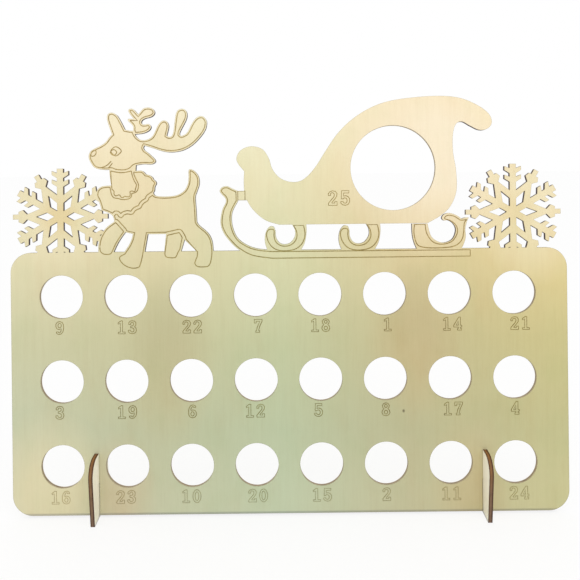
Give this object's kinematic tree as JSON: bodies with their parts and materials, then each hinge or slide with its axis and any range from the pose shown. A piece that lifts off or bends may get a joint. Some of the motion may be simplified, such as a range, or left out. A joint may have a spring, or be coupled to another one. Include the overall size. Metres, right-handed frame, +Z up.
{
  "type": "reusable chocolate advent calendar",
  "caption": "Leaning plywood advent calendar panel with numbered round holes for wrapped chocolates, topped by a reindeer, a sleigh and snowflakes, standing in slotted plywood feet.",
  "frame": {"origin": "middle of the calendar's footprint on the table, under the leaning panel", "axes": "+X to the viewer's right along the panel, +Y to the back, +Z up; the front of the calendar faces -Y"},
  "size_m": [0.387, 0.0552, 0.2879],
  "materials": {
    "panel_plywood": "matte",
    "foot_plywood": "matte"
  },
  "bodies": {
    "panel": {"calendar_panel": "panel_plywood"},
    "left_foot": {"left_foot": "foot_plywood"},
    "right_foot": {"right_foot": "foot_plywood"}
  },
  "joints": [
    {"name": "left_foot_slide", "type": "slide", "parent": "panel", "child": "left_foot", "axis": [0, -0.1392, -0.9903], "range_m": [0, 0.0445]},
    {"name": "right_foot_slide", "type": "slide", "parent": "panel", "child": "right_foot", "axis": [0, -0.1392, -0.9903], "range_m": [0, 0.0445]}
  ]
}
